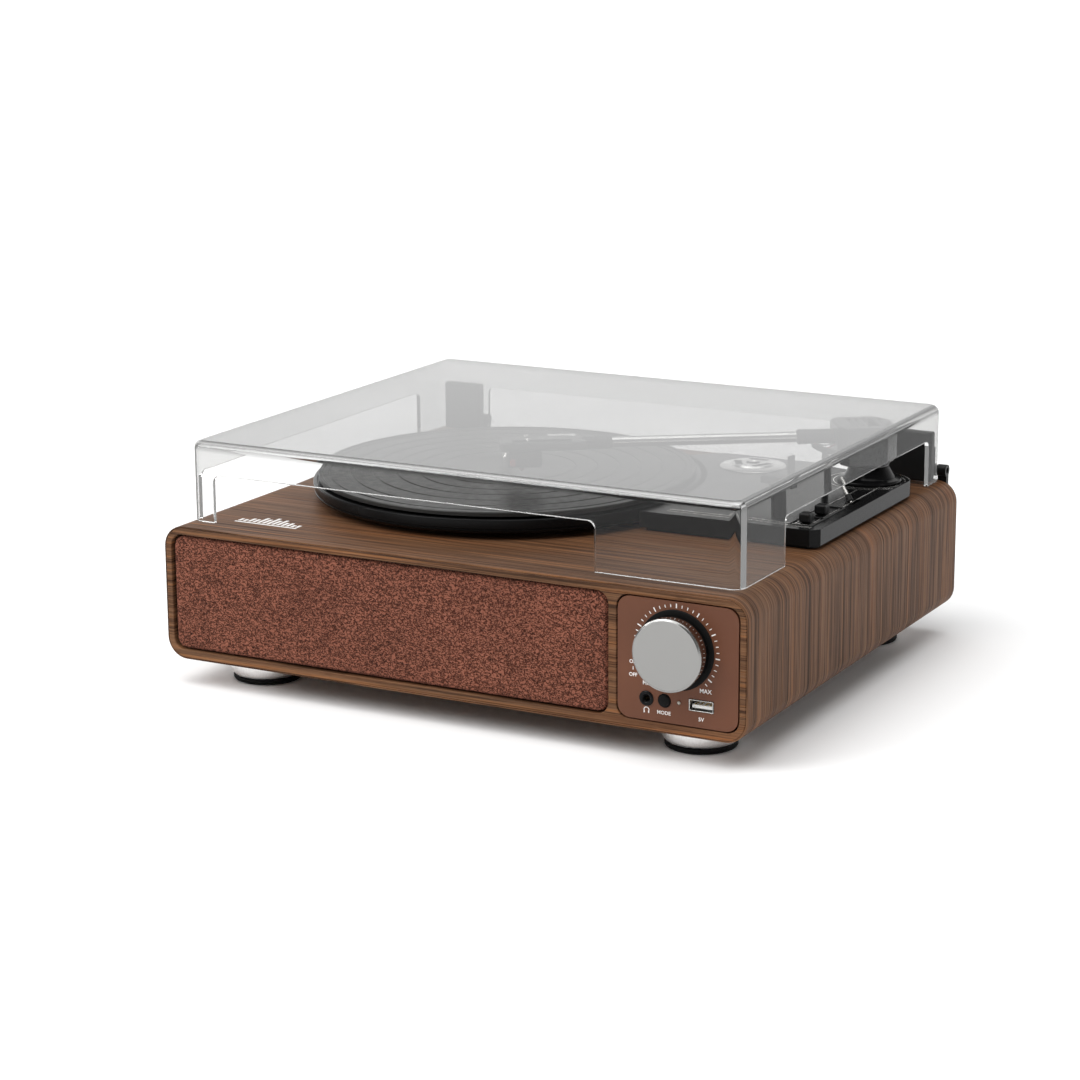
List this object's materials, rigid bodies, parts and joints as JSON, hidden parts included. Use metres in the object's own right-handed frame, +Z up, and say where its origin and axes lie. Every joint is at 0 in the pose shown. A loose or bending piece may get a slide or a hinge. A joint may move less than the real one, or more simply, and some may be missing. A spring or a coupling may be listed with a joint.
{
  "type": "turntable record player",
  "caption": "Compact belt-drive record player with built-in front speakers, straight tonearm, volume knob and hinged clear dust cover.",
  "frame": {"origin": "on the floor plane, under the middle of the cabinet", "axes": "+Z up, the speaker front faces -Y, +X to the right seen from the front"},
  "size_m": [0.35, 0.3186, 0.137],
  "materials": {
    "walnut_veneer": "satin walnut veneer with fine dark grain",
    "grille_weave": "looped russet speaker cloth with dark flecks",
    "brown_plastic": "smooth satin brown plastic",
    "satin_silver": "satin with bright edges",
    "foot_metal": "spun satin, with a black rubber sole",
    "dark_metal": "polished dark metal",
    "steel": "bright",
    "brass": "turned",
    "gloss_black": "semi-gloss black",
    "black_plastic": "fine moulded texture",
    "rubber": "matt",
    "cone_paper": "pressed paper",
    "fibreboard": "raw",
    "circuit_board": "solder mask",
    "white_plastic": "smooth",
    "red_plastic": "smooth",
    "clear_acrylic": "clear polished"
  },
  "bodies": {
    "cabinet": {"arm_pedestal": "black_plastic", "arm_rest": "black_plastic", "back_panel": "black_plastic", "cabinet_shell": "walnut_veneer", "control_board": "circuit_board", "control_panel": "brown_plastic", "dc_inlet": "black_plastic", "drive_belt": "rubber", "drive_motor": "steel", "foot_front_left": "foot_metal", "foot_front_right": "foot_metal", "foot_rear_left": "foot_metal", "foot_rear_right": "foot_metal", "front_baffle": "walnut_veneer", "grille_cloth": "grille_weave", "grille_frame": "black_plastic", "headphone_jack": "black_plastic", "hinge_bracket_left": "black_plastic", "hinge_bracket_right": "black_plastic", "line_out_left": "white_plastic", "line_out_right": "red_plastic", "main_board": "circuit_board", "platter_bearing": "brass", "speaker_board": "fibreboard", "speaker_cone_left": "cone_paper", "speaker_cone_right": "cone_paper", "speaker_driver_left": "black_plastic", "speaker_driver_right": "black_plastic", "status_led": "white_plastic", "tonearm_deck": "gloss_black", "usb_shell": "steel", "usb_tongue": "white_plastic", "volume_pot": "steel"},
    "cover": {"dust_cover": "clear_acrylic", "hinge_socket_left": "black_plastic", "hinge_socket_right": "black_plastic", "hinge_leaf_left": "black_plastic", "hinge_leaf_right": "black_plastic"},
    "platter_group": {"platter": "gloss_black", "platter_mat": "rubber", "spindle": "steel"},
    "motor_pulley": {"motor_pulley": "brass"},
    "arm_swivel": {"arm_post": "black_plastic"},
    "arm": {"arm_housing": "black_plastic", "arm_tube": "satin_silver", "headshell": "black_plastic", "finger_lift": "satin_silver", "cartridge": "gloss_black", "stylus": "red_plastic"},
    "cue_lift": {"cue_lift": "black_plastic"},
    "cue_lever": {"cue_lever": "satin_silver"},
    "arm_clip": {"arm_clip": "black_plastic"},
    "volume_knob": {"volume_knob": "dark_metal", "volume_shaft": "brass", "knob_cap": "satin_silver"},
    "mode_button": {"mode_button": "rubber"},
    "speed_switch": {"speed_switch": "black_plastic"},
    "auto_stop_switch": {"auto_stop_switch": "black_plastic"},
    "single_adapter": {"single_adapter": "gloss_black"}
  },
  "joints": [
    {"name": "cover_hinge", "type": "hinge", "parent": "cabinet", "child": "cover", "pos_m": [0.0028, 0.149, 0.0957], "axis": [-1, 0, 0], "range_deg": [0, 68]},
    {"name": "platter_spin", "type": "hinge", "parent": "cabinet", "child": "platter_group", "pos_m": [-0.042, 0.002, 0.0902], "axis": [0, 0, 1], "continuous": true},
    {"name": "pulley_spin", "type": "hinge", "parent": "cabinet", "child": "motor_pulley", "pos_m": [-0.11746, 0.06531, 0.0902], "axis": [0, 0, 1], "continuous": true},
    {"name": "tonearm_swing", "type": "hinge", "parent": "cabinet", "child": "arm_swivel", "pos_m": [0.145, 0.083, 0.0902], "axis": [0, 0, 1], "range_deg": [-6, 50]},
    {"name": "tonearm_lift", "type": "hinge", "parent": "arm_swivel", "child": "arm", "pos_m": [0.145, 0.083, 0.1252], "axis": [-0.5606, 0.8281, 0], "range_deg": [-0.9, 1.2]},
    {"name": "cue_lever_turn", "type": "hinge", "parent": "cabinet", "child": "cue_lever", "pos_m": [0.1575, 0.03, 0.0992], "axis": [0.7071, 0.7071, 0], "range_deg": [-8, 11]},
    {"name": "cue_lift_rise", "type": "slide", "parent": "cabinet", "child": "cue_lift", "axis": [0, 0, 1], "range_m": [-0.0006, 0.0008]},
    {"name": "arm_clip_turn", "type": "hinge", "parent": "cabinet", "child": "arm_clip", "pos_m": [0.14306, -0.02236, 0.1224], "axis": [-0.1028, -0.9947, 0], "range_deg": [0, 30]},
    {"name": "volume_turn", "type": "hinge", "parent": "cabinet", "child": "volume_knob", "pos_m": [0.1357, -0.1475, 0.0598], "axis": [0, 1, 0], "range_deg": [0, 295]},
    {"name": "mode_press", "type": "slide", "parent": "cabinet", "child": "mode_button", "axis": [0, 1, 0], "range_m": [0, 0.0008], "stiffness_N_per_m": 600, "springref_m": -0.001},
    {"name": "speed_select", "type": "slide", "parent": "cabinet", "child": "speed_switch", "axis": [0, 1, 0], "range_m": [-0.003, 0.003]},
    {"name": "auto_stop_select", "type": "slide", "parent": "cabinet", "child": "auto_stop_switch", "axis": [0, 1, 0], "range_m": [-0.0018, 0.0018]},
    {"name": "adapter_lift_out", "type": "slide", "parent": "cabinet", "child": "single_adapter", "axis": [0, 0, 1], "range_m": [0, 0.018]}
  ],
  "couplings": [
    {"joint": "pulley_spin", "follows": "platter_spin", "ratio": 17.6},
    {"joint": "cue_lever_turn", "follows": "tonearm_lift", "ratio": 8},
    {"joint": "cue_lift_rise", "follows": "tonearm_lift", "m_per_rad": 0.03}
  ]
}
